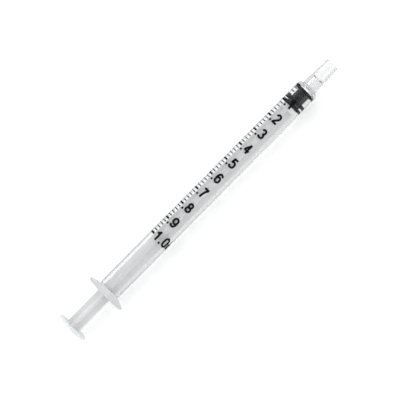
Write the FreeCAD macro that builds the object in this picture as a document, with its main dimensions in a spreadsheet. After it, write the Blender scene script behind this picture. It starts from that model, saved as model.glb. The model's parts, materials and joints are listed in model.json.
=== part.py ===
import FreeCAD, Part
import math
import os
import Sketcher

# Oral syringe of 1 mL. Millimetres, X along the barrel with the tip at +X, +Z up.
# The origin is on the axis at the zero line of the scale, where the front edge of the stopper's
# sealing rib stands when the plunger is pushed fully in. That is the position modelled.

SIZES = [
    # barrel
    ("scale_length", 57.6, "from the zero line back to the 1 mL line"),
    ("behind_scale", 21.9, "from the 1 mL line back to the flange's rear face"),
    ("bore_dia", 4.7, "1 mL fills scale_length at this bore"),
    ("barrel_wall", 0.91, "side wall of the tube"),
    ("front_wall", 0.7, "wall that closes the bore, behind the tip"),
    ("front_corner", 0.8, "rounding of the barrel's front edge"),
    ("mouth_bevel", 0.3, "lead-in at the open end of the bore"),
    ("bead_inset", 2.9, "flange's rear face to the middle of the retaining bead"),
    ("bead_length", 1.5, "length of the retaining bead along the bore"),
    ("bead_height", 0.08, "how far the bead stands into the bore"),
    # tapered oral tip
    ("tip_length", 9.4, "front face to the tip's mouth"),
    ("tip_base_dia", 4.5, "outside, at the front face"),
    ("tip_end_dia", 3.78, "outside, at the mouth"),
    ("tip_root", 0.3, "rounding where the tip leaves the front face"),
    ("tip_edge", 0.12, "rounding of the tip's outer edge"),
    ("tip_bore_dia", 2.5, "wide front part of the channel"),
    ("tip_bore_depth", 5.8, "mouth to the end of the wide part"),
    ("channel_dia", 1.9, "narrow rear part of the channel"),
    ("channel_step", 0.35, "length of the cone between the two"),
    # finger flange
    ("flange_span", 12.95, "long way of the oval"),
    ("flange_width", 8.8, "short way of the oval"),
    ("flange_rim", 0.7, "thickness at the ends of the oval"),
    ("flange_taper", 1.0, "extra thickness where it meets the tube"),
    ("flange_edge", 0.2, "rounding of the rim"),
    # rubber stopper, from the zero line to its rear face
    ("front_rib", 0.90, "front sealing rib"),
    ("waist", 2.62, "wide groove behind it"),
    ("middle_rib", 1.07, "first of the two rear ribs"),
    ("rib_groove", 0.45, "narrow groove between the rear ribs"),
    ("rear_rib", 0.96, "last rib"),
    ("waist_dia", 3.96, "core of the stopper in the wide groove"),
    ("groove_dia", 4.1, "core in the narrow groove"),
    ("rib_edge", 0.12, "rounding of the rubber edges"),
    ("nose_length", 0.6, "blunt cone ahead of the zero line"),
    ("nose_flat_dia", 2.2, "flat end of the nose"),
    ("rib_clearance", 0.02, "radial, rib to bore"),
    ("nose_gap", 0.06, "nose to the front wall, fully in"),
    # plunger rod
    ("rod_clearance", 0.15, "radial, rod to bore"),
    ("shaft_rib", 0.9, "thickness of the four ribs of the cross"),
    ("shaft_core", 0.35, "rounding in the corners of the cross"),
    ("push_disc", 1.5, "round disc that pushes the stopper"),
    ("seat_gap", 0.03, "that disc to the stopper's rear face"),
    ("neck_dia", 1.9, "neck through the stopper's lip"),
    ("head_dia", 2.7, "snap head inside the stopper"),
    ("head_length", 1.9, "snap head along the axis"),
    ("head_nose", 0.5, "bevel at the front of the snap head"),
    ("lip_length", 1.5, "rubber lip that holds the head back"),
    ("snap_clearance", 0.03, "neck and head to the rubber, all round"),
    ("thumb_gap", 12.5, "flange to thumb disc, fully in"),
    ("thumb_dia", 9.9, "thumb disc"),
    ("thumb_thick", 0.9, "thumb disc"),
    ("thumb_edge", 0.35, "rounding of the thumb disc's rim"),
    ("rod_turned", 15.0, "degrees that the cross is turned about X"),
]

CUT_OVER = 1.0      # how far a cutting profile runs past the face that it opens

# A rounding takes its own size unless the piece becomes too thin for it. Then it takes this
# share of the room that is left there.
CORNER_SHARE = 0.7
ROOT_SHARE = 0.25
RIM_SHARE = 0.45
RIB_SHARE = 0.4
GROOVE_SHARE = 0.6
CROSS_SHARE = 0.5
NEAR = 1e-4         # two places closer than this are the same place

doc = FreeCAD.newDocument("oral_syringe")
sheet = doc.addObject("Spreadsheet::Sheet", "Sizes")
for row, (alias, number, note) in enumerate(SIZES, start=1):
    sheet.set(f"A{row}", alias)
    sheet.set(f"B{row}", str(number))
    sheet.setAlias(f"B{row}", alias)
    sheet.set(f"C{row}", note)
doc.recompute()


# Places and radii that more than one piece uses, as expressions on the sheet's cells.
def cell(alias):
    return f"Sizes.{alias}"


def plus(*terms):
    return "(" + " + ".join(terms) + ")"


def minus(first, *rest):
    return "(" + " - ".join((first,) + rest) + ")"


def half(term):
    return f"({term} / 2)"


BORE_R = half(cell("bore_dia"))
OUTER_R = plus(BORE_R, cell("barrel_wall"))
FLANGE_R = half(cell("flange_span"))
NOSE_FLAT_R = half(cell("nose_flat_dia"))
TIP_BASE_R = half(cell("tip_base_dia"))
TIP_END_R = half(cell("tip_end_dia"))
TIP_BORE_R = half(cell("tip_bore_dia"))
CHANNEL_R = half(cell("channel_dia"))
RIB_R = minus(BORE_R, cell("rib_clearance"))
ROD_R = minus(BORE_R, cell("rod_clearance"))
NECK_R = half(cell("neck_dia"))
HEAD_R = half(cell("head_dia"))

FLANGE_BACK = minus("0", cell("scale_length"), cell("behind_scale"))
FLANGE_RIM = plus(FLANGE_BACK, cell("flange_rim"))
FLANGE_FRONT = plus(FLANGE_RIM, cell("flange_taper"))
BORE_END = plus(cell("nose_length"), cell("nose_gap"))
FRONT_FACE = plus(BORE_END, cell("front_wall"))
TIP_END = plus(FRONT_FACE, cell("tip_length"))
TIP_BORE_BACK = minus(TIP_END, cell("tip_bore_depth"))

WAIST_FRONT = minus("0", cell("front_rib"))
WAIST_BACK = minus(WAIST_FRONT, cell("waist"))
GROOVE_FRONT = minus(WAIST_BACK, cell("middle_rib"))
GROOVE_BACK = minus(GROOVE_FRONT, cell("rib_groove"))
STOPPER_BACK = minus(GROOVE_BACK, cell("rear_rib"))
LIP_FRONT = plus(STOPPER_BACK, cell("lip_length"))

DISC_FRONT = minus(STOPPER_BACK, cell("seat_gap"))
DISC_BACK = minus(DISC_FRONT, cell("push_disc"))
THUMB_FRONT = minus(FLANGE_BACK, cell("thumb_gap"))
THUMB_BACK = minus(THUMB_FRONT, cell("thumb_thick"))
HEAD_BACK = plus(LIP_FRONT, cell("snap_clearance"))
HEAD_FRONT = plus(HEAD_BACK, cell("head_length"))


def value(expression):
    return float(sheet.evalExpression(expression))


def origin_feature(body, role):
    return next(each for each in body.Origin.OriginFeatures if each.Role == role)


def new_sketch(body, name, role, away="0"):
    """A sketch on an origin plane of its own body, away from it along the plane's normal."""
    sketch = body.newObject("Sketcher::SketchObject", name)
    sketch.AttachmentSupport = [(origin_feature(body, role), "")]
    sketch.MapMode = "FlatFace"
    sketch.setExpression("AttachmentOffset.Base.z", away)
    return sketch


def bind(sketch, kind, where, expression):
    """Adds a dimension and binds it to the sheet."""
    index = sketch.addConstraint(Sketcher.Constraint(kind, *where, value(expression)))
    sketch.renameConstraint(index, f"size_{index}")
    sketch.setExpression(f"Constraints.size_{index}", expression)


def place_point(sketch, line, along, out):
    """Fixes the start point of a line at (along, out) from the sketch's origin."""
    if abs(value(along)) < NEAR:
        sketch.addConstraint(Sketcher.Constraint("PointOnObject", line, 1, -2))
    else:
        bind(sketch, "DistanceX", (-1, 1, line, 1), along)
    if abs(value(out)) < NEAR:
        sketch.addConstraint(Sketcher.Constraint("PointOnObject", line, 1, -1))
    else:
        bind(sketch, "DistanceY", (-1, 1, line, 1), out)


def closed_outline(sketch, points, arcs=()):
    """Closed outline through (along, out) points. The side that starts at a point whose number
    is in arcs bulges: its entry is the bulge's height, and a negative height bulges inwards."""
    arcs = dict(arcs)
    spots = [FreeCAD.Vector(value(along), value(out), 0) for along, out in points]
    for number, start in enumerate(spots):
        end = spots[(number + 1) % len(spots)]
        if number in arcs:
            middle = (start + end) / 2 + FreeCAD.Vector(0, value(arcs[number]), 0)
            sketch.addGeometry(Part.Arc(start, middle, end), False)
        else:
            sketch.addGeometry(Part.LineSegment(start, end), False)
    ends = {}
    for number, geometry in enumerate(sketch.Geometry):
        start_is_first = (geometry.StartPoint - spots[number]).Length < NEAR
        ends[number] = (1, 2) if start_is_first else (2, 1)
    for number in range(len(spots)):
        following = (number + 1) % len(spots)
        joined = (number, ends[number][1], following, ends[following][0])
        sketch.addConstraint(Sketcher.Constraint("Coincident", *joined))
    for number, (along, out) in enumerate(points):
        if number not in arcs:
            place_point(sketch, number, along, out)
            continue
        bind(sketch, "DistanceX", (-1, 1, number, ends[number][0]), along)
        bind(sketch, "DistanceY", (-1, 1, number, ends[number][0]), out)
        rise = f"abs({arcs[number]})"
        chord = minus(points[number + 1][0], along)
        bind(sketch, "Radius", (number,), f"(({chord} / 2) ^ 2 + {rise} ^ 2) / (2 * {rise})")


def turned(body, kind, name, points, arcs=()):
    """A Revolution or Groove about X of an outline of (x, radius) points."""
    sketch = new_sketch(body, name + "_outline", "XY_Plane")
    closed_outline(sketch, points, arcs)
    feature = body.newObject(kind, name)
    feature.Profile = sketch
    feature.ReferenceAxis = (sketch, ["H_Axis"])
    feature.Angle = 360
    sketch.Visibility = False
    doc.recompute()
    return feature


def ring_edges(shape, rings):
    """Names of the full-circle edges about X that stand at the given (x, radius) places."""
    names = []
    for number, edge in enumerate(shape.Edges, start=1):
        if not isinstance(edge.Curve, Part.Circle):
            continue
        for along, out in rings:
            same_x = abs(edge.Curve.Center.x - value(along)) < NEAR
            if same_x and abs(edge.Curve.Radius - value(out)) < NEAR:
                names.append(f"Edge{number}")
    return names


def rounded(body, name, edges, radius):
    """A Fillet of the named edges of the body so far."""
    base = body.Tip
    feature = body.newObject("PartDesign::Fillet", name)
    feature.Base = (base, edges)
    feature.setExpression("Radius", radius)
    body.Tip = feature
    doc.recompute()
    if not edges or not feature.Shape.isValid():
        raise RuntimeError(f"{name} failed: {feature.State}")


def smaller(first, second):
    return f"min({first}; {second})"


def make_barrel():
    """Clear moulding: tube, oval finger flange, retaining bead and tapered tip in one piece."""
    body = doc.addObject("PartDesign::Body", "barrel")
    blank_r = plus(FLANGE_R, str(CUT_OVER))
    turned(body, "PartDesign::Revolution", "barrel_outside", [
        (FLANGE_BACK, "0"),
        (FLANGE_BACK, blank_r),
        (FLANGE_RIM, blank_r),
        (FLANGE_RIM, FLANGE_R),
        (FLANGE_FRONT, OUTER_R),
        (FRONT_FACE, OUTER_R),
        (FRONT_FACE, TIP_BASE_R),
        (TIP_END, TIP_END_R),
        (TIP_END, "0"),
    ])
    trim_flange(body)
    shoulder = minus(OUTER_R, TIP_BASE_R)
    shape = body.Tip.Shape
    rounded(body, "front_corner", ring_edges(shape, [(FRONT_FACE, OUTER_R)]),
            smaller(cell("front_corner"), f"{shoulder} * {CORNER_SHARE}"))
    shape = body.Tip.Shape
    rounded(body, "tip_root", ring_edges(shape, [(FRONT_FACE, TIP_BASE_R)]),
            smaller(cell("tip_root"), f"{shoulder} * {ROOT_SHARE}"))
    shape = body.Tip.Shape
    tip_wall = minus(TIP_END_R, TIP_BORE_R)
    rounded(body, "tip_edge", ring_edges(shape, [(TIP_END, TIP_END_R)]),
            smaller(cell("tip_edge"), half(tip_wall)))
    hollow_barrel(body)
    return body


def trim_flange(body):
    """Cuts the round flange blank down to its oval, then rounds the rim."""
    sketch = new_sketch(body, "flange_oval", "YZ_Plane", FLANGE_BACK)
    long_r = value(FLANGE_R)
    short_r = value(half(cell("flange_width")))
    oval = Part.Ellipse(FreeCAD.Vector(long_r, 0, 0), FreeCAD.Vector(0, short_r, 0), FreeCAD.Vector())
    outside = plus(FLANGE_R, str(2 * CUT_OVER))
    blank = Part.Circle(FreeCAD.Vector(), FreeCAD.Vector(0, 0, 1), value(outside))
    sketch.addGeometry(oval, False)
    sketch.exposeInternalGeometry(0)
    sketch.addConstraint(Sketcher.Constraint("Coincident", 0, 3, -1, 1))
    sketch.addConstraint(Sketcher.Constraint("Horizontal", 1))
    bind(sketch, "Distance", (1,), cell("flange_span"))
    bind(sketch, "Distance", (2,), cell("flange_width"))
    ring = sketch.addGeometry(blank, False)
    sketch.addConstraint(Sketcher.Constraint("Coincident", ring, 3, -1, 1))
    bind(sketch, "Radius", (ring,), outside)
    before = body.Tip.Shape.Volume
    pocket = body.newObject("PartDesign::Pocket", "flange_sides")
    pocket.Profile = sketch
    pocket.setExpression("Length", plus(cell("flange_rim"), cell("flange_taper")))
    pocket.Reversed = True
    sketch.Visibility = False
    doc.recompute()
    if not body.Tip.Shape.Volume < before:
        raise RuntimeError("the oval of the flange cut nothing")
    rim_edges = []
    for number, edge in enumerate(body.Tip.Shape.Edges, start=1):
        box = edge.BoundBox
        on_rim = box.YMax > long_r - NEAR and box.XMax < value(FLANGE_FRONT) + NEAR
        if on_rim and box.YLength > long_r:
            rim_edges.append(f"Edge{number}")
    limit = f"{cell('flange_rim')} * {RIM_SHARE}"
    rounded(body, "flange_edge", rim_edges, smaller(cell("flange_edge"), limit))


def hollow_barrel(body):
    """Bore with its lead-in and retaining bead, end cone that matches the nose, channel."""
    bead_back = plus(FLANGE_BACK, cell("bead_inset"), "-" + half(cell("bead_length")))
    bead_front = plus(bead_back, cell("bead_length"))
    bevel_end = plus(FLANGE_BACK, cell("mouth_bevel"))
    bevel_r = plus(BORE_R, half(cell("mouth_bevel")))
    past_back = minus(FLANGE_BACK, str(CUT_OVER))
    past_tip = plus(TIP_END, str(CUT_OVER))
    cone_start = plus(TIP_BORE_BACK, "-" + cell("channel_step"))
    before = body.Tip.Shape.Volume
    turned(body, "PartDesign::Groove", "bore_and_channel", [
        (past_back, "0"),
        (past_back, bevel_r),
        (FLANGE_BACK, bevel_r),
        (bevel_end, BORE_R),
        (bead_back, BORE_R),
        (bead_front, BORE_R),
        (cell("nose_gap"), BORE_R),
        (BORE_END, NOSE_FLAT_R),
        (BORE_END, CHANNEL_R),
        (cone_start, CHANNEL_R),
        (TIP_BORE_BACK, TIP_BORE_R),
        (past_tip, TIP_BORE_R),
        (past_tip, "0"),
    ], arcs=[(4, "-" + cell("bead_height"))])
    if not body.Tip.Shape.Volume < before:
        raise RuntimeError("the bore cut nothing")


def make_stopper():
    """Black rubber: blunt nose, front rib, waist, two rear ribs, socket for the snap head."""
    body = doc.addObject("PartDesign::Body", "stopper")
    waist_r = half(cell("waist_dia"))
    groove_r = half(cell("groove_dia"))
    turned(body, "PartDesign::Revolution", "stopper_outside", [
        (STOPPER_BACK, "0"),
        (STOPPER_BACK, RIB_R),
        (GROOVE_BACK, RIB_R),
        (GROOVE_BACK, groove_r),
        (GROOVE_FRONT, groove_r),
        (GROOVE_FRONT, RIB_R),
        (WAIST_BACK, RIB_R),
        (WAIST_BACK, waist_r),
        (WAIST_FRONT, waist_r),
        (WAIST_FRONT, RIB_R),
        ("0", RIB_R),
        (cell("nose_length"), NOSE_FLAT_R),
        (cell("nose_length"), "0"),
    ])
    rib_corners = [(along, RIB_R) for along in
                   (STOPPER_BACK, GROOVE_BACK, GROOVE_FRONT, WAIST_BACK, WAIST_FRONT, "0")]
    nose_corner = [(cell("nose_length"), NOSE_FLAT_R)]
    narrowest = smaller(cell("front_rib"), smaller(cell("middle_rib"), cell("rear_rib")))
    shallowest = minus(RIB_R, f"max({waist_r}; {groove_r})")
    room = smaller(f"{narrowest} * {RIB_SHARE}", f"{shallowest} * {GROOVE_SHARE}")
    edge = smaller(cell("rib_edge"), room)
    rounded(body, "rubber_edges", ring_edges(body.Tip.Shape, rib_corners + nose_corner), edge)
    gap = cell("snap_clearance")
    before = body.Tip.Shape.Volume
    turned(body, "PartDesign::Groove", "head_socket", [
        (minus(STOPPER_BACK, str(CUT_OVER)), "0"),
        (minus(STOPPER_BACK, str(CUT_OVER)), plus(NECK_R, gap)),
        (LIP_FRONT, plus(NECK_R, gap)),
        (LIP_FRONT, plus(HEAD_R, gap)),
        (plus(HEAD_FRONT, gap), plus(HEAD_R, gap)),
        (plus(HEAD_FRONT, gap), "0"),
    ])
    if not body.Tip.Shape.Volume < before:
        raise RuntimeError("the socket cut nothing")
    return body


def make_plunger_rod():
    """Milky moulding: thumb disc, cross-shaped shaft, push disc, neck and snap head."""
    body = doc.addObject("PartDesign::Body", "plunger_rod")
    turned(body, "PartDesign::Revolution", "thumb_disc", [
        (THUMB_BACK, "0"),
        (THUMB_BACK, half(cell("thumb_dia"))),
        (THUMB_FRONT, half(cell("thumb_dia"))),
        (THUMB_FRONT, "0"),
    ])
    rim = ring_edges(body.Tip.Shape, [(THUMB_BACK, half(cell("thumb_dia"))),
                                      (THUMB_FRONT, half(cell("thumb_dia")))])
    rounded(body, "thumb_edge", rim, smaller(cell("thumb_edge"), f"{cell('thumb_thick')} * {RIM_SHARE}"))
    add_cross(body)
    turned(body, "PartDesign::Revolution", "push_disc_and_head", [
        (DISC_BACK, "0"),
        (DISC_BACK, ROD_R),
        (DISC_FRONT, ROD_R),
        (DISC_FRONT, NECK_R),
        (HEAD_BACK, NECK_R),
        (HEAD_BACK, HEAD_R),
        (minus(HEAD_FRONT, cell("head_nose")), HEAD_R),
        (HEAD_FRONT, minus(HEAD_R, half(cell("head_nose")))),
        (HEAD_FRONT, "0"),
    ])
    turn = FreeCAD.Rotation(FreeCAD.Vector(1, 0, 0), value(cell("rod_turned")))
    body.Placement = FreeCAD.Placement(FreeCAD.Vector(), turn)
    return body


def add_cross(body):
    """The shaft: four ribs that meet on the axis, their outer edges round as the bore."""
    sketch = new_sketch(body, "shaft_outline", "YZ_Plane", THUMB_FRONT)
    cross_outline(sketch)
    shaft_length = minus(DISC_BACK, THUMB_FRONT)
    pad = body.newObject("PartDesign::Pad", "shaft")
    pad.Profile = sketch
    pad.setExpression("Length", shaft_length)
    sketch.Visibility = False
    doc.recompute()
    side = value(half(cell("shaft_rib")))
    inner = []
    for number, edge in enumerate(body.Tip.Shape.Edges, start=1):
        box = edge.BoundBox
        in_corner = abs(abs(box.Center.y) - side) < NEAR and abs(abs(box.Center.z) - side) < NEAR
        if in_corner and box.XLength > value(shaft_length) - NEAR:
            inner.append(f"Edge{number}")
    room = minus(ROD_R, half(cell("shaft_rib")))
    rounded(body, "cross_corners", inner, smaller(cell("shaft_core"), f"{room} * {CROSS_SHARE}"))


def cross_outline(sketch):
    """Four rib ends, arcs of the rod's radius about the axis, and the two sides that join each
    end to the next in the corner between them."""
    radius = value(ROD_R)
    side = value(half(cell("shaft_rib")))
    tilt = math.asin(side / radius)
    round_end = Part.Circle(FreeCAD.Vector(), FreeCAD.Vector(0, 0, 1), radius)
    for quarter in range(4):
        turn = quarter * math.pi / 2
        spin = FreeCAD.Rotation(FreeCAD.Vector(0, 0, 1), math.degrees(turn))
        corner = spin.multVec(FreeCAD.Vector(side, side, 0))
        leaves = round_end.value(turn + tilt)
        arrives = round_end.value(turn + math.pi / 2 - tilt)
        sketch.addGeometry(Part.ArcOfCircle(round_end, turn - tilt, turn + tilt), False)
        sketch.addGeometry(Part.LineSegment(leaves, corner), False)
        sketch.addGeometry(Part.LineSegment(corner, arrives), False)
    for quarter in range(4):
        end, first, second = range(3 * quarter, 3 * quarter + 3)
        following = (second + 1) % len(sketch.Geometry)
        sketch.addConstraint(Sketcher.Constraint("Coincident", end, 2, first, 1))
        sketch.addConstraint(Sketcher.Constraint("Coincident", first, 2, second, 1))
        sketch.addConstraint(Sketcher.Constraint("Coincident", second, 2, following, 1))
        sketch.addConstraint(Sketcher.Constraint("Coincident", end, 3, -1, 1))
        level, upright = (first, second) if quarter % 2 == 0 else (second, first)
        sketch.addConstraint(Sketcher.Constraint("Horizontal", level))
        sketch.addConstraint(Sketcher.Constraint("Vertical", upright))
        corner = sketch.getPoint(second, 1)
        plain = half(cell("shaft_rib"))
        turned_over = minus("0", plain)
        bind(sketch, "DistanceX", (-1, 1, second, 1), plain if corner.x > 0 else turned_over)
        bind(sketch, "DistanceY", (-1, 1, second, 1), plain if corner.y > 0 else turned_over)
        if quarter == 0:
            bind(sketch, "Radius", (end,), ROD_R)


def check_document():
    for each in doc.Objects:
        if "Invalid" in each.State or "Error" in each.State:
            raise RuntimeError(f"{each.Name} failed: {each.State}")


bodies = [make_barrel(), make_stopper(), make_plunger_rod()]
doc.recompute()
check_document()
os.makedirs("parts", exist_ok=True)
for body in bodies:
    shape = body.Shape
    if shape.isNull() or not shape.isValid() or len(shape.Solids) != 1:
        raise RuntimeError(f"{body.Label} is not one valid solid")
    shape.exportStep(f"parts/{body.Label}.step")
    print(body.Label, round(shape.Volume, 2), "mm3", shape.BoundBox)
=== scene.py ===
import json
import math
import bpy
from mathutils import Matrix, Vector


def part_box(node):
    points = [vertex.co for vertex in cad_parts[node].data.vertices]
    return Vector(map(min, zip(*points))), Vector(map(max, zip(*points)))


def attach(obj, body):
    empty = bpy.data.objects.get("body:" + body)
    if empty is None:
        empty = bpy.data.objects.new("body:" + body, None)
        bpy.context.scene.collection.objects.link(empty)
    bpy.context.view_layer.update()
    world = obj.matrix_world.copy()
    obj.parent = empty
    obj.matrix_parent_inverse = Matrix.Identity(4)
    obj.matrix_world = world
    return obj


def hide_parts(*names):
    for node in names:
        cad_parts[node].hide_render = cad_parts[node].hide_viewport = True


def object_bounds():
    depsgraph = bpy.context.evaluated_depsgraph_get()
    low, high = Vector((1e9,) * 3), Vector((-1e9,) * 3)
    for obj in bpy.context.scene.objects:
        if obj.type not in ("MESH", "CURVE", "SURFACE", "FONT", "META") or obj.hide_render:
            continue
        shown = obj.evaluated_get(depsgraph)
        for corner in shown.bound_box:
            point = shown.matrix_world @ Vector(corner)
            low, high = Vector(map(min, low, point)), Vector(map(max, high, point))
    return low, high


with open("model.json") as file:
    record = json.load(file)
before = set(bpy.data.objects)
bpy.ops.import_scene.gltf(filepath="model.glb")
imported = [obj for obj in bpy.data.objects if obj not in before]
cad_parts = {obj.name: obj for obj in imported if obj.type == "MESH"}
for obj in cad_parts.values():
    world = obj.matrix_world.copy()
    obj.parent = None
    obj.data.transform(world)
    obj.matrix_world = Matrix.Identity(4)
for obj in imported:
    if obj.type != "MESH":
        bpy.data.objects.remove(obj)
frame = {"record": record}
cad_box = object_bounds()

# Oral syringe of 1 mL: clear barrel with a black printed scale, rubber stopper, milky plunger rod.
# Metres. X runs along the barrel towards the tip, Z is up, and x = 0 is the scale's zero line.
MM = 0.001

# Places and radii that the frame gives.
barrel_low, barrel_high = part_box("barrel")
stopper_low, stopper_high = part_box("stopper")
rod_low, rod_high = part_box("plunger_rod")
mounts = {mount["name"]: mount for mount in frame["record"]["mounts"]}
OUTER_R = mounts["barrel_outside"]["dims"]["r_mm"] * MM
TIP_BORE_R = mounts["tip_bore"]["dims"]["r_mm"] * MM
TIP_BORE_LENGTH = mounts["tip_bore"]["dims"]["length_mm"] * MM
FLANGE_BACK = barrel_low.x
TIP_END = barrel_high.x
FLANGE_HALF_SPAN = barrel_high.y
FLANGE_HALF_WIDTH = barrel_high.z
STOPPER_BACK = stopper_low.x
STOPPER_NOSE = stopper_high.x
THUMB_BACK = rod_low.x
HEAD_FRONT = rod_high.x
THUMB_R = rod_high.z

# Barrel, inside and out.
RIB_CLEARANCE = 0.02 * MM
BORE_R = stopper_high.z + RIB_CLEARANCE
TIP_LENGTH = 9.4 * MM
FRONT_FACE = TIP_END - TIP_LENGTH
FRONT_WALL = 0.7 * MM
BORE_END = FRONT_FACE - FRONT_WALL
NOSE_GAP = BORE_END - STOPPER_NOSE
NOSE_FLAT_R = 1.1 * MM
TIP_BASE_R = 2.25 * MM
TIP_END_R = 1.89 * MM
CHANNEL_R = 0.95 * MM
CHANNEL_STEP = 0.35 * MM
FRONT_CORNER = 0.8 * MM
FLANGE_RIM = 0.7 * MM
FLANGE_TAPER = 1.0 * MM
MOUTH_BEVEL = 0.3 * MM
FROST_ENDS = FLANGE_BACK + FLANGE_RIM + 1.3 * FLANGE_TAPER
BEAD_MIDDLE = FLANGE_BACK + 2.9 * MM
BEAD_LENGTH = 1.5 * MM
BEAD_HEIGHT = 0.08 * MM
BEAD_RINGS = 12
FLANGE_EDGE = 0.2 * MM   # roundings of its edges
FLANGE_ROOT = 0.3 * MM
TIP_ROOT = 0.3 * MM
TIP_EDGE = 0.12 * MM
TIP_MOUTH_EDGE = 0.1 * MM
STEP_EDGE = 0.2 * MM

# Rubber stopper, from the zero line back.
FRONT_RIB = 0.90 * MM
WAIST = 2.62 * MM
MIDDLE_RIB = 1.07 * MM
RIB_GROOVE = 0.45 * MM
WAIST_R = 1.98 * MM
GROOVE_R = 2.05 * MM
SQUEEZE = 0.012 * MM     # how far the ribs press into the bore's wall, so that they wet it
GROOVE_SLOPE = 0.3 * RIB_GROOVE
RIB_EDGE = 0.09 * MM
WAIST_EDGE = 0.12 * MM
NOSE_EDGE = 0.15 * MM

# Plunger rod.
ROD_CLEARANCE = 0.15 * MM
ROD_R = BORE_R - ROD_CLEARANCE
SHAFT_RIB = 0.9 * MM
NECK_R = 0.95 * MM
HEAD_R = 1.35 * MM
HEAD_LENGTH = 1.9 * MM
HEAD_NOSE = 0.5 * MM
LIP_LENGTH = 1.5 * MM
SNAP_CLEARANCE = 0.03 * MM
PUSH_DISC = 1.5 * MM
SEAT_GAP = 0.03 * MM
THUMB_THICK = 0.9 * MM
THUMB_EDGE = 0.35 * MM
DISC_EDGE = 0.12 * MM
SHAFT_EDGE = 0.16 * MM
SHAFT_CORE = 0.3 * MM
SHAFT_SUNK = 0.2 * MM    # how far the shaft runs into the discs at its ends, before they are joined
ROD_TURNED = math.radians(15)

# Printed scale. Angles round the barrel are counted from PRINT_FACES, positive towards -Y.
PRINT_FACES = math.radians(27)       # from +Z towards -Y
SCALE_LENGTH = 57.6 * MM
MAJOR_STEPS = 10
MINOR_STEPS = 5                      # divisions between two numbered lines
LINE_FROM = math.radians(-96)
LINE_TO = math.radians(-42)
MAJOR_WIDTH = 0.52 * MM
MINOR_WIDTH = 0.23 * MM
DIGIT_HEIGHT = 3.2 * MM
DIGIT_WIDTH = 1.95 * MM
STROKE = 0.61 * MM
BASELINE = -1.28 * MM                # foot of a numeral, behind its line
DOT_AT = -2.17 * MM                  # starts of the signs, round the barrel
DIGIT_AT = -1.15 * MM
ONE_AT = -2.0 * MM
ONE_TO_DOT = 2.1 * MM
ONE_TO_NOUGHT = 3.15 * MM
UNIT_AT = 3.6 * MM
M_TO_L = 2.5 * MM
INK_LIFT = 0.012 * MM
INK_THICK = 0.02 * MM
LINE_CUTS = 13                       # cuts along a line, so that it can follow the barrel's curve

# View and light.
LENS = 148.5
SENSOR = 36
ELEVATION = math.radians(63)
ROLL = math.radians(45.3)
DISTANCE = 460.1 * MM
AIM_BEHIND_ZERO = 42.1 * MM
AIM_BELOW_AXIS = 0.36 * MM
SKY = 1.47
DARK_CARD = 1.3          # how much darker the surround is in the middle of a dark card overhead,
NEAR_SIDE = 0.33         # and how much brighter it is on the near side
KEY_FROM = Vector((-0.3, 0.6, 0.75))
KEY_AWAY = 0.6
KEY_SIZE = 0.6
KEY_POWER = 0.4
FLOOR_SIZE = 3
FLOOR_GLOW = 0.655
TRUE_UP_TO = (0.78, 0.78)      # the tone curve leaves tones as they are up to here,
WHITE_FROM = (0.86, 1.0)       # and makes them white from here on

AROUND = 128             # sides of a round piece
SMOOTH_UP_TO = math.radians(35)
SAME = 2e-6              # two places closer than this are the same place
SAME_SHARE = 0.002       # and two radii, as a share of their size


# ---------------------------------------------------------------- modelling

def deselect_all():
    if bpy.context.object and bpy.context.object.mode != "OBJECT":
        bpy.ops.object.mode_set(mode="OBJECT")
    bpy.ops.object.select_all(action="DESELECT")


def pick(piece):
    deselect_all()
    piece.select_set(True)
    bpy.context.view_layer.objects.active = piece


def settle(piece):
    """Puts the piece's place into its mesh, so that its object stands at the origin."""
    pick(piece)
    bpy.ops.object.transform_apply(location=True, rotation=True, scale=True)


def select_edges(piece, wanted):
    """Opens the piece for editing and selects the edges for which wanted(end, end) is true."""
    pick(piece)
    bpy.ops.object.mode_set(mode="EDIT")
    bpy.ops.mesh.select_mode(type="EDGE")
    bpy.ops.mesh.select_all(action="DESELECT")
    bpy.ops.object.mode_set(mode="OBJECT")
    points = piece.data.vertices
    for edge in piece.data.edges:
        edge.select = wanted(*(points[corner].co for corner in edge.vertices))
    bpy.ops.object.mode_set(mode="EDIT")


def drawn_round(name, rings, caps=True):
    """A circle about X extruded from ring to ring. A ring is (x, radius), or for an oval
    (x, half span along Y, half width along Z). Without caps the last ring meets the first."""
    deselect_all()
    rings = [ring if len(ring) == 3 else (ring[0], ring[1], ring[1]) for ring in rings]
    x, wide, high = rings[0]
    bpy.ops.mesh.primitive_circle_add(vertices=AROUND, radius=1.0, location=(x, 0, 0),
                                      rotation=(0, math.pi / 2, 0))
    piece = bpy.context.object
    piece.name = piece.data.name = name
    settle(piece)
    bpy.ops.object.mode_set(mode="EDIT")
    bpy.ops.mesh.select_all(action="SELECT")
    bpy.ops.transform.resize(value=(1, wide, high), center_override=(x, 0, 0))
    if caps:
        bpy.ops.mesh.edge_face_add()
        bpy.ops.mesh.select_all(action="SELECT")
    for next_x, next_wide, next_high in rings[1:]:
        move = {"value": (next_x - x, 0, 0)}
        bpy.ops.mesh.extrude_region_move(TRANSFORM_OT_translate=move)
        bpy.ops.transform.resize(value=(1, next_wide / wide, next_high / high),
                                 center_override=(next_x, 0, 0))
        x, wide, high = next_x, next_wide, next_high
    bpy.ops.mesh.select_all(action="SELECT")
    if not caps:
        bpy.ops.mesh.remove_doubles(threshold=SAME / 4)
    bpy.ops.mesh.normals_make_consistent(inside=False)
    bpy.ops.object.mode_set(mode="OBJECT")
    return piece


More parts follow.
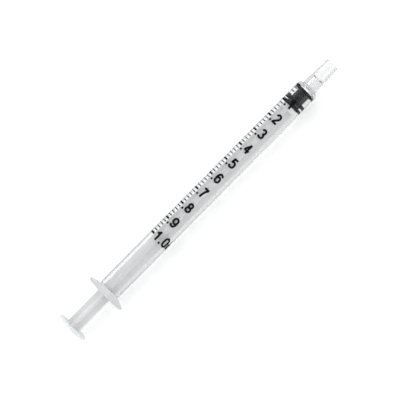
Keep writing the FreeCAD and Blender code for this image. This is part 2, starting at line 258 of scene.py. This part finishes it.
def round_off(piece, x, ring, amount, steps=5):
    """Bevels the ring at x. A ring is a radius, or an oval's (half span, half width)."""
    wide, high = ring if isinstance(ring, tuple) else (ring, ring)

    def on_ring(first, second):
        for point in (first, second):
            share = math.hypot(point.y / wide, point.z / high)
            if abs(point.x - x) > SAME or abs(share - 1) > SAME_SHARE:
                return False
        return True

    select_edges(piece, on_ring)
    bpy.ops.mesh.bevel(offset=amount, segments=steps, profile=0.5, affect="EDGES")
    bpy.ops.object.mode_set(mode="OBJECT")


def smooth(piece):
    pick(piece)
    bpy.ops.object.shade_smooth_by_angle(angle=SMOOTH_UP_TO)


def join_solid(piece, other):
    """Boolean union of two closed pieces, applied."""
    pick(piece)
    bpy.ops.object.modifier_add(type="BOOLEAN")
    union = piece.modifiers[-1]
    union.operation = "UNION"
    union.solver = "EXACT"
    union.object = other
    bpy.ops.object.modifier_apply(modifier=union.name)
    bpy.data.objects.remove(other)


# ---------------------------------------------------------------- shader maths

class Value:
    """Wraps a shader socket, so that arithmetic on it adds Math nodes."""

    def __init__(self, maker, socket):
        self.maker = maker
        self.socket = socket

    def _math(self, operation, *values):
        return self.maker.node("ShaderNodeMath", {"operation": operation}, *values)

    def __add__(self, other):
        return self._math("ADD", self, other)

    def __radd__(self, other):
        return self._math("ADD", other, self)

    def __sub__(self, other):
        return self._math("SUBTRACT", self, other)

    def __rsub__(self, other):
        return self._math("SUBTRACT", other, self)

    def __mul__(self, other):
        return self._math("MULTIPLY", self, other)

    def __rmul__(self, other):
        return self._math("MULTIPLY", other, self)

    def __gt__(self, other):
        return self._math("GREATER_THAN", self, other)

    def __lt__(self, other):
        return self._math("LESS_THAN", self, other)


class Maker:
    """Builds the nodes of one material, or of the world."""

    def __init__(self, name, kind="materials"):
        self.made = getattr(bpy.data, kind).new(name)
        self.made.use_nodes = True
        self.tree = self.made.node_tree
        self.tree.nodes.clear()

    def node(self, kind, settings=None, *values, out=0, **named):
        """Adds a node: its type, its settings, then its sockets' values or links."""
        made = self.tree.nodes.new(kind)
        for key, setting in (settings or {}).items():
            setattr(made, key, setting)
        sockets = list(enumerate(values))
        sockets += [(key.replace("_", " "), entry) for key, entry in named.items()]
        for key, entry in sockets:
            if isinstance(entry, Value):
                self.tree.links.new(entry.socket, made.inputs[key])
            else:
                made.inputs[key].default_value = entry
        return Value(self, made.outputs[out]) if made.outputs else None

    def place(self):
        """Object coordinates."""
        return self.node("ShaderNodeTexCoord", out="Object")

    def part_of(self, vector, axis):
        """One part of a vector: X, Y or Z."""
        return self.node("ShaderNodeSeparateXYZ", None, vector, out=axis)

    def noise(self, where, scale, detail):
        return self.node("ShaderNodeTexNoise", None, Vector=where, Scale=scale, Detail=detail)

    def stretched(self, where, scale):
        """Coordinates scaled along each axis, for grain that runs one way."""
        return self.node("ShaderNodeMapping", None, Vector=where, Scale=scale)

    def colour_mix(self, share, first, second):
        mixed = self.tree.nodes.new("ShaderNodeMix")
        mixed.data_type = "RGBA"
        for key, entry in ((0, share), (6, first), (7, second)):
            if isinstance(entry, Value):
                self.tree.links.new(entry.socket, mixed.inputs[key])
            else:
                mixed.inputs[key].default_value = entry
        return Value(self, mixed.outputs[2])

    def bump(self, height, strength, distance):
        return self.node("ShaderNodeBump", None, Strength=strength, Distance=distance, Height=height)

    def plastic(self, **named):
        return self.node("ShaderNodeBsdfPrincipled", None, **named)

    def finish(self, *shaders, kind="ShaderNodeOutputMaterial"):
        self.node(kind, None, *shaders)
        return self.made


def dress(piece, material):
    piece.data.materials.clear()
    piece.data.materials.append(material)


def grey(level):
    return (level, level, level, 1)


# ---------------------------------------------------------------- materials

def clear_plastic():
    """Clear moulded plastic: a little haze, faint flow lines, and a frosted finger flange."""
    make = Maker("clear_plastic")
    where = make.place()
    flow = make.noise(make.stretched(where, (60, 700, 700)), 1.0, 2.0)
    ripple = make.bump(flow, 0.012, 0.00002)
    clear = make.plastic(Base_Color=grey(1.0), Roughness=0.1, IOR=1.49, Specular_Tint=grey(0.4),
                         Transmission_Weight=1.0, Normal=ripple)
    depth = make.node("ShaderNodeVolumeAbsorption", None, (0.5, 0.505, 0.51, 1), 95)
    grain = make.noise(where, 5200, 3.0)
    frost = make.bump(grain, 0.25, 0.00002)
    milky = make.plastic(Base_Color=(0.78, 0.785, 0.79, 1), Roughness=0.42, IOR=1.49, Normal=frost)
    on_flange = make.part_of(where, "X") < FROST_ENDS
    share = 0.006 + on_flange * 0.7
    return make.finish(make.node("ShaderNodeMixShader", None, share, clear, milky), depth)


def milky_plastic():
    """Milky moulded plastic of the rod: slightly cloudy, with a faint mould texture."""
    make = Maker("milky_plastic")
    where = make.place()
    cloud = make.noise(where, 260, 2.0)
    colour = make.colour_mix(cloud, (0.68, 0.685, 0.685, 1), (0.74, 0.745, 0.745, 1))
    grain = make.noise(make.stretched(where, (900, 3800, 3800)), 1.0, 3.0)
    return make.finish(make.plastic(
        Base_Color=colour, Roughness=0.34 + 0.16 * cloud, IOR=1.49,
        Normal=make.bump(grain, 0.2, 0.00002)))


def black_rubber():
    """Black rubber, nearly matt, with a fine grain."""
    make = Maker("black_rubber")
    where = make.place()
    grain = make.noise(where, 4200, 3.0)
    colour = make.colour_mix(grain, (0.006, 0.008, 0.01, 1), (0.012, 0.015, 0.018, 1))
    return make.finish(make.plastic(
        Base_Color=colour, Roughness=0.34 + 0.14 * grain, IOR=1.5, Specular_IOR_Level=0.08,
        Normal=make.bump(grain, 0.2, 0.00002)))


def black_ink():
    """Printed ink, slightly uneven in blackness."""
    make = Maker("black_ink")
    where = make.place()
    patch = make.noise(where, 3000, 2.0)
    colour = make.colour_mix(patch, grey(0.003), grey(0.012))
    return make.finish(make.plastic(
        Base_Color=colour, Roughness=0.4 + 0.2 * patch, IOR=1.1,
        Normal=make.bump(patch, 0.15, 0.00001)))


def floor_acrylic():
    """Opal acrylic, lit from below."""
    make = Maker("floor_acrylic")
    where = make.place()
    tooth = make.noise(where, 900, 2.0)
    return make.finish(make.plastic(Base_Color=grey(0.22), Roughness=0.8, Emission_Color=grey(1.0),
                                    Emission_Strength=FLOOR_GLOW, Normal=make.bump(tooth, 0.05, 0.0001)))


# ---------------------------------------------------------------- camera, light and floor

def make_camera():
    towards_camera = Vector((0, -math.cos(ELEVATION), math.sin(ELEVATION)))
    along = Vector((1, 0, 0))
    below = Vector((0, -math.sin(ELEVATION), -math.cos(ELEVATION)))
    right = along * math.cos(ROLL) + below * math.sin(ROLL)
    up = along * math.sin(ROLL) - below * math.cos(ROLL)
    bpy.ops.object.camera_add()
    camera = bpy.context.object
    camera.name = "camera"
    camera.data.sensor_width = SENSOR
    camera.data.lens = LENS
    camera.data.clip_start = 0.01
    camera.data.clip_end = 10
    aim = Vector((-AIM_BEHIND_ZERO, 0, 0)) + below * AIM_BELOW_AXIS
    axes = Matrix((right, up, towards_camera)).transposed().to_4x4()
    camera.matrix_world = Matrix.Translation(aim + towards_camera * DISTANCE) @ axes
    bpy.context.scene.camera = camera


def make_key_light():
    aim = Vector((-AIM_BEHIND_ZERO, 0, 0))
    bpy.ops.object.light_add(type="AREA", location=aim + KEY_FROM.normalized() * KEY_AWAY)
    light = bpy.context.object
    light.name = "key"
    light.data.shape = "SQUARE"
    light.data.size = KEY_SIZE
    light.data.energy = KEY_POWER
    light.rotation_mode = "QUATERNION"
    light.rotation_quaternion = KEY_FROM.to_track_quat("Z", "Y")


def make_studio():
    """A white surround with a dark card overhead, a weak soft light from above and behind, a floor
    of back-lit opal acrylic, and a tone curve that makes the brightest tones white."""
    make = Maker("studio", "worlds")
    way = make.node("ShaderNodeTexCoord", out="Generated")
    card_at = (0, -math.cos(ELEVATION), math.sin(ELEVATION))
    facing = make.node("ShaderNodeVectorMath", {"operation": "DOT_PRODUCT"}, way, card_at, out="Value")
    facing = facing * (facing > 0)
    on_card = facing * facing * facing * facing
    strength = SKY - DARK_CARD * on_card - NEAR_SIDE * make.part_of(way, "Y")
    bpy.context.scene.world = make.finish(
        make.node("ShaderNodeBackground", None, Color=(0.98, 0.99, 1.0, 1), Strength=strength),
        kind="ShaderNodeOutputWorld")
    make_key_light()
    bpy.ops.mesh.primitive_plane_add(size=FLOOR_SIZE, location=(-AIM_BEHIND_ZERO, 0, cad_box[0].z))
    floor = bpy.context.object
    floor.name = "floor"
    dress(floor, floor_acrylic())
    settings = bpy.context.scene.view_settings
    settings.view_transform = "Standard"
    settings.look = "None"
    settings.exposure = 0.0
    bpy.context.scene.cycles.blur_glossy = 0.0
    settings.use_curve_mapping = True
    response = settings.curve_mapping
    for seen, shown in (TRUE_UP_TO, WHITE_FROM):
        response.curves[3].points.new(seen, shown)
    for point in response.curves[3].points:
        point.handle_type = "VECTOR"
    response.update()


# ---------------------------------------------------------------- pieces

def make_barrel():
    """One clear moulding: drawn ring by ring from the open mouth, over the flange and the tube
    to the tip, and back through the channel and the bore."""
    flange_front = FLANGE_BACK + FLANGE_RIM + FLANGE_TAPER
    cone_start = TIP_END - TIP_BORE_LENGTH - CHANNEL_STEP
    mouth_r = BORE_R + MOUTH_BEVEL / 2
    rings = [
        (FLANGE_BACK, mouth_r),
        (FLANGE_BACK, FLANGE_HALF_SPAN, FLANGE_HALF_WIDTH),
        (FLANGE_BACK + FLANGE_RIM, FLANGE_HALF_SPAN, FLANGE_HALF_WIDTH),
        (flange_front, OUTER_R),
        (FRONT_FACE, OUTER_R),
        (FRONT_FACE, TIP_BASE_R),
        (TIP_END, TIP_END_R),
        (TIP_END, TIP_BORE_R),
        (cone_start + CHANNEL_STEP, TIP_BORE_R),
        (cone_start, CHANNEL_R),
        (BORE_END, CHANNEL_R),
        (BORE_END, NOSE_FLAT_R),
        (NOSE_GAP, BORE_R),
    ]
    for step in range(BEAD_RINGS + 1):
        share = step / BEAD_RINGS
        rise = BEAD_HEIGHT * math.sin(math.pi * share) ** 2
        rings.append((BEAD_MIDDLE + BEAD_LENGTH * (0.5 - share), BORE_R - rise))
    rings.append((FLANGE_BACK + MOUTH_BEVEL, BORE_R))
    rings.append(rings[0])
    barrel = drawn_round("barrel_clear", rings, caps=False)
    flange_ring = (FLANGE_HALF_SPAN, FLANGE_HALF_WIDTH)
    round_off(barrel, FLANGE_BACK, flange_ring, FLANGE_EDGE)
    round_off(barrel, FLANGE_BACK + FLANGE_RIM, flange_ring, FLANGE_EDGE)
    round_off(barrel, flange_front, OUTER_R, FLANGE_ROOT, 6)
    round_off(barrel, FRONT_FACE, OUTER_R, FRONT_CORNER, 8)
    round_off(barrel, FRONT_FACE, TIP_BASE_R, TIP_ROOT)
    round_off(barrel, TIP_END, TIP_END_R, TIP_EDGE, 4)
    round_off(barrel, TIP_END, TIP_BORE_R, TIP_MOUTH_EDGE, 4)
    round_off(barrel, cone_start + CHANNEL_STEP, TIP_BORE_R, STEP_EDGE, 4)
    round_off(barrel, cone_start, CHANNEL_R, STEP_EDGE, 4)
    smooth(barrel)
    dress(barrel, clear_plastic())
    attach(barrel, "barrel")
    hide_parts("barrel")


def make_stopper():
    """Black rubber: socket, two rear ribs, waist, front rib and blunt nose."""
    rib_r = BORE_R + SQUEEZE
    waist_back = -FRONT_RIB - WAIST
    groove_front = waist_back - MIDDLE_RIB
    groove_back = groove_front - RIB_GROOVE
    lip_front = STOPPER_BACK + LIP_LENGTH
    socket_front = HEAD_FRONT + SNAP_CLEARANCE
    rings = [
        (socket_front, HEAD_R + SNAP_CLEARANCE),
        (lip_front, HEAD_R + SNAP_CLEARANCE),
        (lip_front, NECK_R + SNAP_CLEARANCE),
        (STOPPER_BACK, NECK_R + SNAP_CLEARANCE),
        (STOPPER_BACK, rib_r),
        (groove_back, rib_r),
        (groove_back + GROOVE_SLOPE, GROOVE_R),
        (groove_front - GROOVE_SLOPE, GROOVE_R),
        (groove_front, rib_r),
        (waist_back, rib_r),
        (waist_back, WAIST_R),
        (-FRONT_RIB, WAIST_R),
        (-FRONT_RIB, rib_r),
        (0, rib_r),
        (STOPPER_NOSE, NOSE_FLAT_R),
    ]
    stopper = drawn_round("rubber_stopper", rings)
    for x in (STOPPER_BACK, groove_back, groove_front, waist_back, -FRONT_RIB, 0):
        round_off(stopper, x, rib_r, RIB_EDGE, 4)
    for x in (waist_back, -FRONT_RIB):
        round_off(stopper, x, WAIST_R, WAIST_EDGE, 4)
    round_off(stopper, STOPPER_NOSE, NOSE_FLAT_R, NOSE_EDGE, 4)
    smooth(stopper)
    dress(stopper, black_rubber())
    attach(stopper, "stopper")
    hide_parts("stopper")


def make_plunger_rod():
    """Thumb disc, cross-shaped shaft, push disc, neck and snap head, joined into one moulding."""
    thumb_front = THUMB_BACK + THUMB_THICK
    disc_front = STOPPER_BACK - SEAT_GAP
    disc_back = disc_front - PUSH_DISC
    rod = drawn_round("plunger_rod_milky", [(THUMB_BACK, THUMB_R), (thumb_front, THUMB_R)])
    round_off(rod, THUMB_BACK, THUMB_R, THUMB_EDGE, 6)
    round_off(rod, thumb_front, THUMB_R, THUMB_EDGE, 6)
    shaft = make_shaft(thumb_front - SHAFT_SUNK, disc_back + SHAFT_SUNK)
    join_solid(rod, shaft)
    head_back = HEAD_FRONT - HEAD_LENGTH
    head = drawn_round("head", [
        (disc_back, ROD_R),
        (disc_front, ROD_R),
        (disc_front, NECK_R),
        (head_back, NECK_R),
        (head_back, HEAD_R),
        (HEAD_FRONT - HEAD_NOSE, HEAD_R),
        (HEAD_FRONT, HEAD_R - HEAD_NOSE / 2),
    ])
    round_off(head, disc_back, ROD_R, DISC_EDGE, 4)
    round_off(head, disc_front, ROD_R, DISC_EDGE, 4)
    join_solid(rod, head)
    rod.rotation_euler.x = ROD_TURNED
    settle(rod)
    smooth(rod)
    dress(rod, milky_plastic())
    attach(rod, "plunger_rod")
    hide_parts("plunger_rod")


def make_shaft(start, end):
    """Two flat ribs crossed on the axis, with rounded outer edges and inner corners."""
    reach = math.sqrt(ROD_R ** 2 - (SHAFT_RIB / 2) ** 2)
    ribs = []
    for turn in (0, math.pi / 2):
        deselect_all()
        bpy.ops.mesh.primitive_cube_add(size=1, location=((start + end) / 2, 0, 0),
                                        scale=(end - start, SHAFT_RIB, 2 * reach),
                                        rotation=(turn, 0, 0))
        rib = bpy.context.object
        rib.name = "shaft"
        settle(rib)

        def outer_edge(first, second):
            runs_along = abs(first.x - second.x) > SAME
            return runs_along and max(abs(first.y), abs(first.z)) > reach - SAME

        select_edges(rib, outer_edge)
        bpy.ops.mesh.bevel(offset=SHAFT_EDGE, segments=4, profile=0.5, affect="EDGES")
        bpy.ops.object.mode_set(mode="OBJECT")
        ribs.append(rib)
    shaft, other = ribs
    join_solid(shaft, other)

    def inner_corner(first, second):
        half = SHAFT_RIB / 2
        runs_along = abs(first.x - second.x) > SAME
        return runs_along and abs(abs(first.y) - half) < SAME and abs(abs(first.z) - half) < SAME

    select_edges(shaft, inner_corner)
    bpy.ops.mesh.bevel(offset=SHAFT_CORE, segments=4, profile=0.5, affect="EDGES")
    bpy.ops.object.mode_set(mode="OBJECT")
    return shaft


# ---------------------------------------------------------------- printed scale

def line(*ends, steps=6):
    """Points along a straight stroke, in shares of the numeral's width and height."""
    (x0, y0), (x1, y1) = ends
    return [(x0 + (x1 - x0) * step / steps, y0 + (y1 - y0) * step / steps) for step in range(steps + 1)]


def arc(middle, reach, start, end, fullness=2.25, steps=20):
    """Points along part of an oval, from one angle to another in degrees. A fullness above 2
    makes it squarer than an ellipse."""
    points = []
    for step in range(steps + 1):
        angle = math.radians(start + (end - start) * step / steps)
        c, s = math.cos(angle), math.sin(angle)
        points.append((middle[0] + reach[0] * math.copysign(abs(c) ** (2 / fullness), c),
                       middle[1] + reach[1] * math.copysign(abs(s) ** (2 / fullness), s)))
    return points


def glyph_strokes(sign):
    """A sign's strokes, each a list of points, and whether the stroke is closed."""
    strokes = {
        "0": [(arc((0.5, 0.5), (0.5, 0.5), 0, 360, 2.6, 40), True)],
        "1": [(line((0.62, -0.08), (0.62, 1.08)), False), (line((0.66, 0.98), (0.0, 0.68)), False)],
        "2": [(arc((0.5, 0.72), (0.47, 0.28), 172, -28) + line((0.86, 0.52), (0.02, 0.02))[1:], False),
              (line((-0.14, 0.0), (1.08, 0.0)), False)],
        "3": [(arc((0.46, 0.75), (0.42, 0.25), 168, -88), False),
              (arc((0.46, 0.26), (0.5, 0.26), 88, -168), False)],
        "4": [(line((0.72, -0.08), (0.72, 1.08)), False), (line((0.76, 1.0), (0.02, 0.32)), False),
              (line((-0.12, 0.27), (1.14, 0.27)), False)],
        "5": [(line((0.14, 1.0), (1.0, 1.0)), False), (line((0.2, 1.08), (0.08, 0.48)), False),
              (arc((0.46, 0.33), (0.54, 0.33), 150, -162), False)],
        "6": [(arc((0.5, 0.31), (0.5, 0.31), 0, 360, 2.2, 32), True),
              (arc((0.56, 0.5), (0.56, 0.5), 200, 32), False)],
        "7": [(line((-0.1, 1.0), (1.08, 1.0)), False),
              (arc((1.35, -0.16), (1.05, 1.16), 178, 110), False)],
        "8": [(arc((0.5, 0.755), (0.42, 0.245), 0, 360, 2.2, 32), True),
              (arc((0.5, 0.265), (0.5, 0.265), 0, 360, 2.2, 32), True)],
        "9": [(arc((0.5, 0.69), (0.5, 0.31), 0, 360, 2.2, 32), True),
              (arc((0.44, 0.5), (0.56, 0.5), 20, -148), False)],
        ".": [(line((-0.1, 0.0), (0.34, 0.0)), False)],
        "m": [(line((0.0, -0.08), (0.0, 0.6)), False),
              (arc((0.32, 0.34), (0.32, 0.2), 180, 0) + line((0.64, 0.34), (0.64, -0.08))[1:], False),
              (arc((0.96, 0.34), (0.32, 0.2), 180, 0) + line((1.28, 0.34), (1.28, -0.08))[1:], False)],
        "L": [(line((0.0, -0.08), (0.0, 1.08)), False), (line((0.0, 0.0), (0.9, 0.0)), False)],
    }
    return strokes[sign]


def flat_ribbon(name, strokes, width, place, size):
    """Strokes as a flat curve of constant width, made a mesh. X runs round the barrel and Z
    along it."""
    profile_curve = bpy.data.curves.new("pen", "CURVE")
    profile_curve.dimensions = "2D"
    pen_line = profile_curve.splines.new("POLY")
    pen_line.points.add(2)
    for point, offset in zip(pen_line.points, (-width / 2, 0, width / 2)):
        point.co = (offset, 0, 0, 1)
    pen = bpy.data.objects.new("pen", profile_curve)
    bpy.context.scene.collection.objects.link(pen)
    curve = bpy.data.curves.new(name, "CURVE")
    curve.dimensions = "2D"
    curve.fill_mode = "NONE"
    curve.bevel_mode = "OBJECT"
    curve.bevel_object = pen
    for points, closed in strokes:
        spline = curve.splines.new("POLY")
        if closed:
            points = points[:-1]
        spline.points.add(len(points) - 1)
        for target, (x, y) in zip(spline.points, points):
            target.co = (place[0] + x * size[0], place[1] + y * size[1], 0, 1)
        spline.use_cyclic_u = closed
    ribbon = bpy.data.objects.new(name, curve)
    bpy.context.scene.collection.objects.link(ribbon)
    pick(ribbon)
    bpy.ops.object.convert(target="MESH")
    ribbon = bpy.context.object
    bpy.data.objects.remove(pen)
    return ribbon


def written(text, start, foot):
    """Flat numerals, from start round the barrel, standing on foot along it."""
    pen_width = DIGIT_WIDTH - STROKE
    pen_height = DIGIT_HEIGHT - STROKE
    made = []
    for sign, shift in text:
        made.append(flat_ribbon("sign", glyph_strokes(sign), STROKE,
                                (start + shift + STROKE / 2, foot + STROKE / 2),
                                (pen_width, pen_height)))
    return made


def join_pieces(name, made):
    deselect_all()
    for each in made:
        each.select_set(True)
    bpy.context.view_layer.objects.active = made[0]
    if len(made) > 1:
        bpy.ops.object.join()
    joined = bpy.context.object
    joined.name = joined.data.name = name
    return joined


def wrap_on_barrel(print_sheet):
    """Gives the flat print its thickness, bends it to the barrel's radius and puts it there.
    The sheet's X is the way round, its Y the way along."""
    print_sheet.rotation_euler.x = math.pi / 2
    settle(print_sheet)
    radius = OUTER_R + INK_LIFT
    bpy.ops.object.modifier_add(type="SOLIDIFY")
    solid = print_sheet.modifiers[-1]
    solid.thickness = INK_THICK
    solid.offset = 0
    bpy.ops.object.modifier_apply(modifier=solid.name)
    reach = [corner.co.x for corner in print_sheet.data.vertices]
    bpy.ops.object.modifier_add(type="SIMPLE_DEFORM")
    bend = print_sheet.modifiers[-1]
    bend.deform_method = "BEND"
    bend.deform_axis = "Z"
    bend.angle = (max(reach) - min(reach)) / radius
    bpy.ops.object.modifier_apply(modifier=bend.name)
    turn = Matrix(((0, 0, 1), (1, 0, 0), (0, 1, 0))).to_4x4()
    facing = Matrix.Rotation(PRINT_FACES + math.pi, 4, "X")
    print_sheet.matrix_world = facing @ turn @ Matrix.Translation((0, -radius, 0))
    settle(print_sheet)


def make_lines(name, width, places):
    """Scale lines: one strip modelled, then copied to its places along the barrel."""
    strip_length = (LINE_TO - LINE_FROM) * OUTER_R
    strip_middle = LINE_FROM * OUTER_R + strip_length / 2
    deselect_all()
    bpy.ops.mesh.primitive_plane_add(size=1, location=(strip_middle, 0, 0))
    strip = bpy.context.object
    strip.scale = (strip_length, width, 1)
    settle(strip)
    select_edges(strip, lambda first, second: abs(first.y - second.y) < SAME)
    bpy.ops.mesh.subdivide(number_cuts=LINE_CUTS)
    bpy.ops.object.mode_set(mode="OBJECT")
    made = []
    for place in places:
        pick(strip)
        bpy.ops.object.duplicate()
        copy = bpy.context.object
        copy.location.y = place
        settle(copy)
        made.append(copy)
    bpy.data.objects.remove(strip)
    return join_pieces(name, made)


def print_scale():
    """Ink on the barrel: numbered lines, short lines, numerals and the unit."""
    ink = black_ink()
    spacing = SCALE_LENGTH / MAJOR_STEPS
    numbered = [-spacing * step for step in range(MAJOR_STEPS + 1)]
    short = [step for step in range(MAJOR_STEPS * MINOR_STEPS) if step % MINOR_STEPS]
    between = [-spacing * step / MINOR_STEPS for step in short]
    major = make_lines("ink_numbered_lines", MAJOR_WIDTH, numbered)
    minor = make_lines("ink_short_lines", MINOR_WIDTH, between)
    made = []
    for step in range(1, MAJOR_STEPS):
        foot = -spacing * step + BASELINE
        made += written([(".", 0), (str(step), DIGIT_AT - DOT_AT)], DOT_AT, foot)
    foot = -SCALE_LENGTH + BASELINE
    made += written([("1", 0), (".", ONE_TO_DOT), ("0", ONE_TO_NOUGHT)], ONE_AT, foot)
    made += written([("m", 0), ("L", M_TO_L)], UNIT_AT, foot)
    numerals = join_pieces("ink_numerals", made)
    for piece in (major, minor, numerals):
        wrap_on_barrel(piece)
        pick(piece)
        bpy.ops.object.mode_set(mode="EDIT")
        bpy.ops.mesh.select_all(action="SELECT")
        bpy.ops.mesh.normals_make_consistent(inside=False)
        bpy.ops.object.mode_set(mode="OBJECT")
        smooth(piece)
        dress(piece, ink)
        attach(piece, "barrel")


make_camera()
make_studio()
make_barrel()
make_stopper()
make_plunger_rod()
print_scale()
